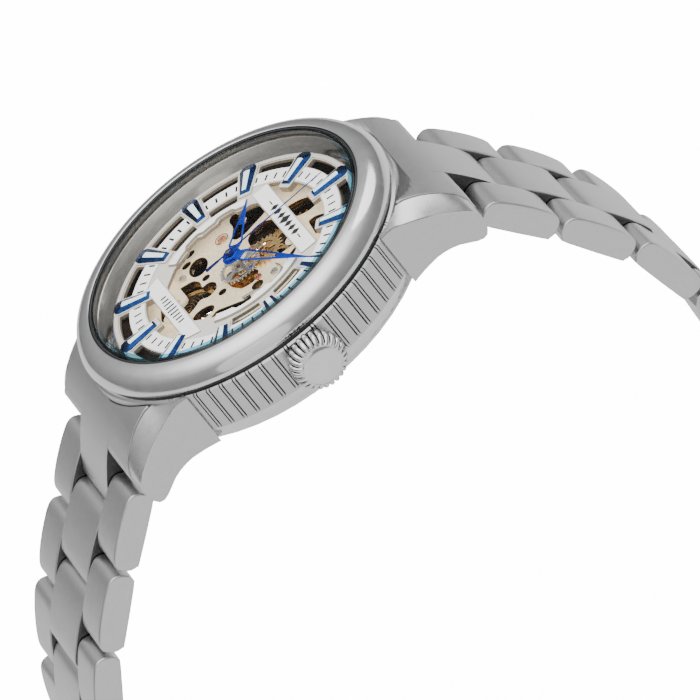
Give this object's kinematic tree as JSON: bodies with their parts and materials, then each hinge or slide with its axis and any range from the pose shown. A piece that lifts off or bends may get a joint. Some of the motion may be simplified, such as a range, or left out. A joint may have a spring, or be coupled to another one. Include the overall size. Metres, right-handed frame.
{
  "type": "skeleton wristwatch",
  "caption": "Skeleton wristwatch with an openworked dial, geared hand-wound movement, fluted case and crown, and a hinged link bracelet with fold-over clasp.",
  "frame": {"origin": "centre of the case back's outer face", "axes": "+Z out of the dial, +Y towards 12 o'clock, +X towards the crown at 3 o'clock"},
  "size_m": [0.0492, 0.0997, 0.1247],
  "materials": {
    "polished_steel": "polished, mirror bright with fine wear",
    "brushed_steel": "satin brushed along the bracelet",
    "rehaut_steel": "warm satin",
    "crystal_glass": "clear, polished, lightly coated",
    "black_gasket": "matte black",
    "dial_cream": "off-white lacquer",
    "plate_champagne": "frosted champagne plate",
    "wheel_gold": "gilt, circular grained",
    "works_steel": "grained steel",
    "spring_steel": "dark tempered",
    "hand_blue": "bright metallic blue"
  },
  "bodies": {
    "case": {"case_middle": "brushed_steel", "bezel": "polished_steel", "crystal": "crystal_glass", "crystal_gasket": "black_gasket", "rehaut_ring": "rehaut_steel", "case_back": "polished_steel", "case_back_crystal": "crystal_glass", "movement_ring": "works_steel", "dial": "dial_cream", "main_plate": "plate_champagne", "train_bridge": "plate_champagne", "balance_cock": "plate_champagne", "hairspring": "spring_steel", "end_link_upper": "brushed_steel", "end_link_lower": "brushed_steel"},
    "seconds": {"fourth_wheel": "wheel_gold", "seconds_hand": "hand_blue"},
    "minutes": {"centre_wheel": "wheel_gold", "minute_hand": "hand_blue"},
    "hours": {"hour_wheel": "wheel_gold", "hour_hand": "hand_blue"},
    "third": {"third_wheel": "wheel_gold"},
    "barrel": {"barrel_drum": "wheel_gold", "mainspring": "spring_steel"},
    "escape": {"escape_wheel": "works_steel"},
    "motion_wheel": {"minute_wheel": "wheel_gold"},
    "balance": {"balance_wheel": "wheel_gold"},
    "pallets": {"pallet_fork": "works_steel"},
    "winding": {"winding_pinion": "works_steel"},
    "crown_and_stem": {"crown": "polished_steel", "winding_stem": "works_steel"},
    "crown_wheel": {"crown_wheel": "works_steel"},
    "ratchet": {"ratchet_wheel": "works_steel"},
    "upper_1": {"bracelet_upper_link_1": "brushed_steel", "hinge_pin_upper_1": "works_steel"},
    "upper_2": {"bracelet_upper_link_2": "brushed_steel", "hinge_pin_upper_2": "works_steel"},
    "upper_3": {"bracelet_upper_link_3": "brushed_steel", "hinge_pin_upper_3": "works_steel"},
    "upper_4": {"bracelet_upper_link_4": "brushed_steel", "hinge_pin_upper_4": "works_steel"},
    "upper_5": {"bracelet_upper_link_5": "brushed_steel", "hinge_pin_upper_5": "works_steel"},
    "upper_6": {"bracelet_upper_link_6": "brushed_steel", "hinge_pin_upper_6": "works_steel"},
    "lower_1": {"bracelet_lower_link_1": "brushed_steel", "hinge_pin_lower_1": "works_steel"},
    "lower_2": {"bracelet_lower_link_2": "brushed_steel", "hinge_pin_lower_2": "works_steel"},
    "lower_3": {"bracelet_lower_link_3": "brushed_steel", "hinge_pin_lower_3": "works_steel"},
    "lower_4": {"bracelet_lower_link_4": "brushed_steel", "hinge_pin_lower_4": "works_steel"},
    "lower_5": {"bracelet_lower_link_5": "brushed_steel", "hinge_pin_lower_5": "works_steel"},
    "clasp_lid": {"clasp_cover": "brushed_steel", "clasp_cover_pin": "works_steel"},
    "clasp_outer": {"clasp_outer_blade": "brushed_steel"},
    "clasp_inner": {"clasp_inner_blade": "brushed_steel", "clasp_blade_pin": "works_steel"}
  },
  "joints": [
    {"name": "seconds_turn", "type": "hinge", "parent": "case", "child": "seconds", "pos_m": [0, 0, 0.0094], "axis": [0, 0, -1], "continuous": true},
    {"name": "minutes_turn", "type": "hinge", "parent": "case", "child": "minutes", "pos_m": [0, 0, 0.0094], "axis": [0, 0, -1], "continuous": true},
    {"name": "hours_turn", "type": "hinge", "parent": "case", "child": "hours", "pos_m": [0, 0, 0.0094], "axis": [0, 0, -1], "continuous": true},
    {"name": "third_turn", "type": "hinge", "parent": "case", "child": "third", "pos_m": [0.00367, -0.00204, 0.0094], "axis": [0, 0, -1], "continuous": true},
    {"name": "barrel_turn", "type": "hinge", "parent": "case", "child": "barrel", "pos_m": [0.00185, 0.0069, 0.0094], "axis": [0, 0, -1], "continuous": true},
    {"name": "escape_turn", "type": "hinge", "parent": "case", "child": "escape", "pos_m": [-0.00312, -0.00262, 0.0094], "axis": [0, 0, -1], "continuous": true},
    {"name": "motion_wheel_turn", "type": "hinge", "parent": "case", "child": "motion_wheel", "pos_m": [0.00024, 0.00339, 0.0094], "axis": [0, 0, -1], "continuous": true},
    {"name": "balance_swing", "type": "hinge", "parent": "case", "child": "balance", "pos_m": [-0.00275, -0.0084, 0.0094], "axis": [0, 0, 1], "range_deg": [-270, 270], "stiffness_Nm_per_rad": 0.00000019},
    {"name": "pallet_fork_rock", "type": "hinge", "parent": "case", "child": "pallets", "pos_m": [-0.00293, -0.00556, 0.0094], "axis": [0, 0, 1], "range_deg": [-6, 6]},
    {"name": "crown_turn", "type": "hinge", "parent": "case", "child": "winding", "pos_m": [0.0123, 0, 0.0059], "axis": [1, 0, 0], "continuous": true},
    {"name": "crown_pull", "type": "slide", "parent": "winding", "child": "crown_and_stem", "axis": [1, 0, 0], "range_m": [0, 0.0015]},
    {"name": "crown_wheel_turn", "type": "hinge", "parent": "case", "child": "crown_wheel", "pos_m": [0.0086, 0, 0.0094], "axis": [0, 0, 1], "continuous": true},
    {"name": "ratchet_turn", "type": "hinge", "parent": "case", "child": "ratchet", "pos_m": [0.00185, 0.0069, 0.0094], "axis": [0, 0, 1], "continuous": true},
    {"name": "upper_hinge_1", "type": "hinge", "parent": "case", "child": "upper_1", "pos_m": [0, 0.0275, -0.0018], "axis": [1, 0, 0], "range_deg": [0, 30]},
    {"name": "upper_hinge_2", "type": "hinge", "parent": "upper_1", "child": "upper_2", "pos_m": [0, 0.0338, -0.01063], "axis": [1, 0, 0], "range_deg": [0, 12]},
    {"name": "upper_hinge_3", "type": "hinge", "parent": "upper_2", "child": "upper_3", "pos_m": [0, 0.03919, -0.02005], "axis": [1, 0, 0], "range_deg": [0, 24]},
    {"name": "upper_hinge_4", "type": "hinge", "parent": "upper_3", "child": "upper_4", "pos_m": [0, 0.04163, -0.03062], "axis": [1, 0, 0], "range_deg": [-39, 16]},
    {"name": "upper_hinge_5", "type": "hinge", "parent": "upper_4", "child": "upper_5", "pos_m": [0, 0.04239, -0.04144], "axis": [1, 0, 0], "range_deg": [-34, 13]},
    {"name": "upper_hinge_6", "type": "hinge", "parent": "upper_5", "child": "upper_6", "pos_m": [0, 0.04201, -0.05229], "axis": [1, 0, 0], "range_deg": [-10, 12]},
    {"name": "lower_hinge_1", "type": "hinge", "parent": "case", "child": "lower_1", "pos_m": [0, -0.0275, -0.0018], "axis": [-1, 0, 0], "range_deg": [0, 30]},
    {"name": "lower_hinge_2", "type": "hinge", "parent": "lower_1", "child": "lower_2", "pos_m": [0, -0.03556, -0.00906], "axis": [-1, 0, 0], "range_deg": [0, 11]},
    {"name": "lower_hinge_3", "type": "hinge", "parent": "lower_2", "child": "lower_3", "pos_m": [0, -0.04317, -0.0168], "axis": [-1, 0, 0], "range_deg": [0, 20]},
    {"name": "lower_hinge_4", "type": "hinge", "parent": "lower_3", "child": "lower_4", "pos_m": [0, -0.04892, -0.026], "axis": [-1, 0, 0], "range_deg": [-40, 20]},
    {"name": "lower_hinge_5", "type": "hinge", "parent": "lower_4", "child": "lower_5", "pos_m": [0, -0.05227, -0.03632], "axis": [-1, 0, 0], "range_deg": [-36, 19]},
    {"name": "clasp_cover_hinge", "type": "hinge", "parent": "upper_6", "child": "clasp_lid", "pos_m": [0, 0.04069, -0.06306], "axis": [1, 0, 0], "range_deg": [0, 90]},
    {"name": "clasp_outer_hinge", "type": "hinge", "parent": "clasp_lid", "child": "clasp_outer", "pos_m": [0, 0.03387, -0.10491], "axis": [1, 0, 0], "range_deg": [0, 50]},
    {"name": "clasp_inner_hinge", "type": "hinge", "parent": "clasp_outer", "child": "clasp_inner", "pos_m": [0, 0.0393, -0.07093], "axis": [-1, 0, 0], "range_deg": [0, 150]}
  ],
  "couplings": [
    {"joint": "minutes_turn", "follows": "seconds_turn", "ratio": 0.016667},
    {"joint": "third_turn", "follows": "seconds_turn", "ratio": -0.13333},
    {"joint": "barrel_turn", "follows": "seconds_turn", "ratio": -0.0027778},
    {"joint": "hours_turn", "follows": "seconds_turn", "ratio": 0.0013889},
    {"joint": "motion_wheel_turn", "follows": "seconds_turn", "ratio": -0.0055556},
    {"joint": "escape_turn", "follows": "seconds_turn", "ratio": -7.5},
    {"joint": "crown_wheel_turn", "follows": "crown_turn", "ratio": 0.33333},
    {"joint": "ratchet_turn", "follows": "crown_turn", "ratio": -0.23333}
  ]
}
